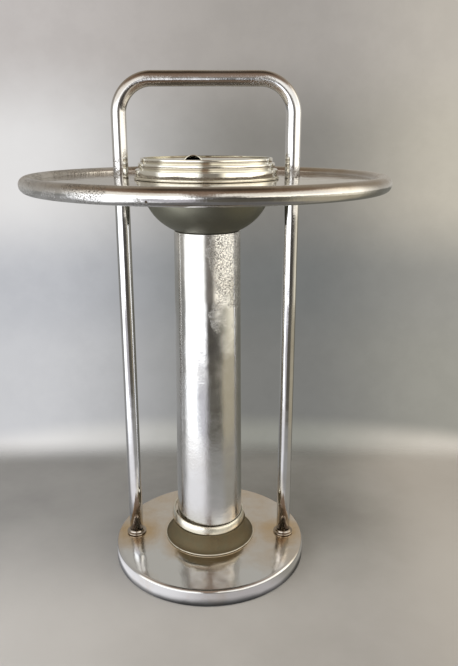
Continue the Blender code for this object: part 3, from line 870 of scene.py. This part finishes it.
def make_hood():
    """A quarter of a flattened ball over the drop hole, with a bead round its open edge."""
    reach = HOOD_REACH
    squash = HOOD_RISE / reach
    bm = bmesh.new()
    bmesh.ops.create_uvsphere(bm, u_segments=48, v_segments=24, radius=reach - 0.2 * MM)
    for normal in ((0, 0, 1), (0, 1, 0)):
        bmesh.ops.bisect_plane(bm, geom=bm.verts[:] + bm.edges[:] + bm.faces[:], dist=1e-7,
                               plane_co=(0, 0, 0), plane_no=normal, clear_inner=True)
    bmesh.ops.scale(bm, vec=(1, 1, squash), verts=bm.verts)
    hood = place_in_scene("hood", bm, MATERIALS["cover"], "cover", ["drop_hood"], HOOD_PLACE)
    give_wall(hood, THIN_WALL)

    bead = bmesh.new()
    bead_r = 0.95 * MM
    bmesh.ops.create_circle(bead, segments=20, radius=bead_r, cap_ends=False,
                            matrix=Matrix.Translation((reach - bead_r, 0, 0)))
    bmesh.ops.spin(bead, geom=bead.verts[:] + bead.edges[:], cent=(0, 0, 0), axis=(0, -1, 0),
                   angle=math.pi, steps=40)
    bmesh.ops.holes_fill(bead, edges=bead.edges, sides=0)
    bmesh.ops.scale(bead, vec=(1, 1, squash), verts=bead.verts)
    bead_piece = place_in_scene("hood_bead", bead, MATERIALS["cover"], "cover", [],
                                HOOD_PLACE + Vector((0, 0.2 * MM, 0)))


CARRIED = {
    "base_weight": "iron", "base_nut": "steel", "base_washer": "steel", "tie_rod": "steel",
    "left_rod_plug": "steel", "right_rod_plug": "steel", "left_rod_screw": "steel",
    "right_rod_screw": "steel", "left_rod_washer": "steel", "right_rod_washer": "steel",
}


def finish_carried_nodes():
    for node, material in CARRIED.items():
        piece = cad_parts[node]
        piece.data.materials.clear()
        piece.data.materials.append(MATERIALS[material])


# Studio

def make_camera():
    pitch = math.radians(16.606)
    camera = bpy.data.objects.new("camera", bpy.data.cameras.new("camera"))
    camera.location = (0.0238, -0.730, 0.4968)
    camera.rotation_euler = (math.pi / 2 - pitch, 0, 0)
    camera.data.lens = 36.15
    camera.data.sensor_width = 36
    camera.data.clip_start = 0.01
    bpy.context.scene.collection.objects.link(camera)
    bpy.context.scene.camera = camera


def softbox(name, bearing, distance, width, low, high, color, radiance):
    """An upright area light. Bearing is in degrees from straight ahead, positive to the right."""
    angle = math.radians(bearing)
    data = bpy.data.lights.new(name, "AREA")
    data.shape = "RECTANGLE"
    data.size = width
    data.size_y = high - low
    data.color = color
    data.energy = radiance * math.pi * width * (high - low)
    light = bpy.data.objects.new(name, data)
    light.location = (distance * math.sin(angle), -distance * math.cos(angle), (low + high) / 2)
    light.rotation_euler = (math.pi / 2, 0, angle)
    light.visible_camera = False
    light.visible_glossy = False
    bpy.context.scene.collection.objects.link(light)


def make_light_wheel():
    """The studio round the stand as bright and dark stretches by bearing: window, gap, wall."""
    group, given, result = new_group(
        "light_wheel",
        [("Place", "Vector", None), ("Around", "Color", None), ("Far Right", "Color", None),
         ("Window", "Color", None), ("Gap", "Color", None), ("Wall", "Color", None),
         ("Sill", "Color", None), ("Window End", "Float", -4.0), ("Gap Start", "Float", -4.0),
         ("Gap End", "Float", 56.0), ("Wall End", "Float", 112.0), ("Soft", "Float", 8.0),
         ("Wall Soft", "Float", 12.0)],
        [("Color", "Color")],
    )
    x, y, _ = xyz(group, given["Place"])
    toward = math_node(group, "MULTIPLY", y, -1.0)
    bearing = math_node(group, "DEGREES", math_node(group, "ARCTAN2", x, toward))

    def after(angle, soft=given["Soft"]):
        low = math_node(group, "SUBTRACT", angle, soft)
        return ramp(group, bearing, low, math_node(group, "ADD", angle, soft))

    color = mix_color(group, ramp(group, bearing, -60.0, 60.0), given["Around"], given["Far Right"])
    window_start = -80.0
    color = mix_color(group, after(window_start), color, given["Window"])
    color = mix_color(group, after(given["Window End"]), color, given["Sill"])
    color = mix_color(group, after(given["Gap Start"]), color, given["Gap"])
    color = mix_color(group, after(given["Gap End"], given["Wall Soft"]), color, given["Wall"])
    color = mix_color(group, after(given["Wall End"], 16.0), color, given["Far Right"])
    put(result["Color"], color)
    return group


def make_floor(wheel):
    """A pale sweep whose colour holds painted light and shade. Polished metal sees the lit and shaded
    parts of the studio's floor in it.
    """
    bm = bmesh.new()
    bmesh.ops.create_circle(bm, cap_ends=True, segments=96, radius=1.6)
    mesh = bpy.data.meshes.new("floor")
    bm.to_mesh(mesh)
    bm.free()
    floor = bpy.data.objects.new("floor", mesh)
    floor.location = (0, 0, FLOOR)
    bpy.context.scene.collection.objects.link(floor)
    material, tree, shader = new_material("paper")
    place = object_place(tree)
    mottle = noise(tree, place, 5, 5.0, 0.6)
    x, y, _ = xyz(tree, place)
    # Painted light and shade in the paper's colour: bright on the left and near the camera, darker behind
    # the stand and to its right, then lighter and beige far to the right
    left = ramp(tree, x, -0.30, 0.14, 1.0, 0.0)
    near = ramp(tree, y, 0.12, -0.16)
    left_paper_painted_shade = mix_color(tree, near, (0.27, 0.275, 0.28, 1), (0.60, 0.60, 0.595, 1))
    right_paper_painted_shade = mix_color(tree, near, (0.20, 0.20, 0.185, 1), (0.42, 0.41, 0.39, 1))
    right_paper_painted_shade = mix_color(tree, ramp(tree, x, 0.14, 0.32), right_paper_painted_shade, (0.50, 0.475, 0.43, 1))
    paper = mix_color(tree, left, right_paper_painted_shade, left_paper_painted_shade)
    put(shader["Base Color"], mix_color(tree, ramp(tree, mottle, 0.3, 0.7, 0.0, 0.12), paper,
                                        (0.9, 0.9, 0.88, 1)))
    shader["Roughness"].default_value = 0.7
    away = length_of(tree, place)

    # What polished metal sees: near the base, its surroundings; farther off, the window and the wall
    mid = ramp(tree, away, 0.14, 0.20)
    far = ramp(tree, away, 0.30, 0.55)
    wheel_out = use_group(
        tree, wheel, Place=place,
        Around=mix_color(tree, far, (0.30, 0.30, 0.30, 1), (0.36, 0.36, 0.36, 1)),
        Far_Right=(0.17, 0.165, 0.14, 1),
        Window=mix_color(tree, far, (1.05, 1.04, 1.08, 1), (2.1, 2.15, 2.25, 1)),
        Sill=mix_color(tree, far, (0.80, 0.77, 0.80, 1), (0.66, 0.65, 0.71, 1)),
        Gap=mix_color(tree, far, mix_color(tree, mid, (0.56, 0.53, 0.53, 1), (0.38, 0.375, 0.365, 1)),
                      (0.13, 0.12, 0.10, 1)),
        Wall=mix_color(tree, far, (0.36, 0.34, 0.30, 1), (0.50, 0.45, 0.34, 1)),
        Soft=ramp(tree, away, 0.2, 0.85, 16.0, 5.0),
        Window_End=ramp(tree, away, 0.35, 0.62, -14.0, -37.0), Gap_End=50.0,
    )
    glossy = tree.nodes.new("ShaderNodeEmission")
    # Painted contact shadow: what the metal sees of the floor goes nearly black just outside the base's
    # edge
    contact_shadow = ramp(tree, away, BASE_RADIUS - 0.001, BASE_RADIUS + 0.004, 0.9, 0.0)
    facing = tree.nodes.new("ShaderNodeLayerWeight")
    facing.inputs["Blend"].default_value = 0.5
    sheen = ramp(tree, facing.outputs["Facing"], 0.06, 0.26)
    lit = mix_color(tree, sheen, (0.17, 0.165, 0.165, 1), wheel_out["Color"])
    put(glossy.inputs["Color"], mix_color(tree, contact_shadow, lit, (0.01, 0.01, 0.01, 1)))

    # Reflections take that light, everything else takes the paper, and both end softly
    chooser = tree.nodes.new("ShaderNodeMixShader")
    path = tree.nodes.new("ShaderNodeLightPath")
    put(chooser.inputs[0], path.outputs["Is Glossy Ray"])
    tree.links.new(tree.nodes["Principled BSDF"].outputs[0], chooser.inputs[1])
    tree.links.new(glossy.outputs[0], chooser.inputs[2])
    clear = tree.nodes.new("ShaderNodeBsdfTransparent")
    fade = tree.nodes.new("ShaderNodeMixShader")
    seen_edge = math_node(tree, "MULTIPLY", ramp(tree, y, 0.21, 0.31), path.outputs["Is Camera Ray"])
    put(fade.inputs[0], math_node(tree, "MAXIMUM", ramp(tree, away, 1.15, 1.55), seen_edge))
    tree.links.new(chooser.outputs[0], fade.inputs[1])
    tree.links.new(clear.outputs[0], fade.inputs[2])
    tree.links.new(fade.outputs[0], tree.nodes["Material Output"].inputs["Surface"])
    floor.data.materials.append(material)


def make_world(wheel):
    world = bpy.data.worlds.new("studio")
    bpy.context.scene.world = world
    world.use_nodes = True
    tree = world.node_tree
    tree.nodes.clear()
    out = tree.nodes.new("ShaderNodeOutputWorld")
    direction = tree.nodes.new("ShaderNodeTexCoord").outputs["Generated"]
    side, depth, up = xyz(tree, direction)

    # The room as the metal reflects it: low and high parts, a glow in front, and the ceiling
    low = use_group(tree, wheel, Place=direction, Around=(0.30, 0.30, 0.29, 1),
                    Far_Right=(0.20, 0.195, 0.17, 1), Window=(2.4, 2.45, 2.55, 1),
                    Sill=(2.0, 2.0, 2.1, 1), Gap=(0.085, 0.078, 0.07, 1), Wall=(1.1, 1.03, 0.84, 1),
                    Gap_End=66.0, Wall_Soft=34.0)["Color"]
    high = use_group(tree, wheel, Place=direction, Around=(0.48, 0.46, 0.43, 1),
                     Far_Right=(0.55, 0.52, 0.47, 1), Window=(2.4, 2.45, 2.5, 1),
                     Sill=(2.4, 2.45, 2.5, 1), Gap=(0.24, 0.22, 0.20, 1), Wall=(2.0, 1.9, 1.7, 1),
                     Gap_Start=-10.0, Gap_End=27.0)["Color"]
    room = mix_color(tree, ramp(tree, up, -0.13, -0.05), low, high)
    front = ramp(tree, depth, -0.3, 0.1, 1.0, 0.0)
    lit_sides = math_node(tree, "MAXIMUM", ramp(tree, side, -0.25, -0.05, 1.0, 0.0),
                          ramp(tree, side, 0.04, 0.18))
    glow = math_node(tree, "MULTIPLY", front, ramp(tree, up, 0.06, 0.26))
    glow = math_node(tree, "MULTIPLY", glow, lit_sides)
    room = mix_color(tree, glow, room, (1.35, 1.32, 1.26, 1))
    behind = ramp(tree, depth, -0.1, 0.6)
    ceiling = mix_color(tree, behind, (0.36, 0.27, 0.215, 1), (0.54, 0.52, 0.48, 1))
    ceiling = mix_color(tree, ramp(tree, up, 0.86, 0.98), ceiling, (0.12, 0.10, 0.085, 1))
    brow = math_node(tree, "MULTIPLY_ADD", lit_sides, 0.45, 0.07)
    above = math_node(tree, "SUBTRACT", up, brow)
    room = mix_color(tree, ramp(tree, above, 0.0, 0.24), room, ceiling)

    # The backdrop behind the stand, from its top down to the ledge and the ground
    shade = ramp(tree, side, -0.30, 0.04)
    right = ramp(tree, side, 0.10, 0.34)

    def across(left_color, middle_color, right_color):
        color = mix_color(tree, shade, (*left_color, 1), (*middle_color, 1))
        return mix_color(tree, right, color, (*right_color, 1))

    grain = noise(tree, direction, 22, 8.0, 0.65)
    top = across((0.52, 0.49, 0.475), (0.37, 0.345, 0.32), (0.52, 0.48, 0.42))
    upper = across((0.76, 0.75, 0.745), (0.235, 0.225, 0.205), (0.54, 0.50, 0.42))
    middle = across((0.51, 0.52, 0.55), (0.17, 0.175, 0.17), (0.32, 0.31, 0.28))
    lower = across((0.58, 0.585, 0.605), (0.19, 0.19, 0.18), (0.33, 0.32, 0.28))
    ledge = across((0.76, 0.75, 0.74), (0.28, 0.28, 0.25), (0.66, 0.61, 0.53))
    ground = across((0.27, 0.28, 0.275), (0.135, 0.135, 0.12), (0.27, 0.25, 0.21))
    seen = mix_color(tree, ramp(tree, up, 0.12, -0.02), top, upper)
    seen = mix_color(tree, ramp(tree, up, -0.08, -0.20), seen, middle)
    seen = mix_color(tree, ramp(tree, up, -0.22, -0.32), seen, lower)
    seen = mix_color(tree, ramp(tree, up, -0.393, -0.424), seen, ledge)
    seen = mix_color(tree, ramp(tree, up, -0.430, -0.462), seen, ground)
    seen = mix_color(tree, ramp(tree, grain, 0.35, 0.65, 0.0, 0.06), seen, (0.9, 0.9, 0.9, 1),
                     "OVERLAY")
    path = tree.nodes.new("ShaderNodeLightPath")
    background = tree.nodes.new("ShaderNodeBackground")
    put(background.inputs["Color"], mix_color(tree, path.outputs["Is Camera Ray"], room, seen))
    tree.links.new(background.outputs[0], out.inputs["Surface"])


def make_studio():
    make_camera()
    wheel = make_light_wheel()
    make_floor(wheel)
    make_world(wheel)
    softbox("left_softbox", -50, 1.35, 2.0, 0.02, 1.5, (0.97, 0.98, 1.0), 1.6)
    softbox("right_softbox", 67, 1.3, 2.2, 0.30, 1.5, (1.0, 0.95, 0.86), 0.8)
    scene = bpy.context.scene
    scene.view_settings.view_transform = "Standard"
    scene.view_settings.look = "None"


make_base_cover()
make_felt_pad()
make_bent_tube()
make_ferrules()
make_column()
make_foot()
make_loose_ring()
make_hoop()
make_pan()
make_stop_collars()
make_bowl()
make_bowl_washer()
make_bowl_nut()
make_stepped_collar()
make_dished_plate()
make_hood()
finish_carried_nodes()
make_studio()
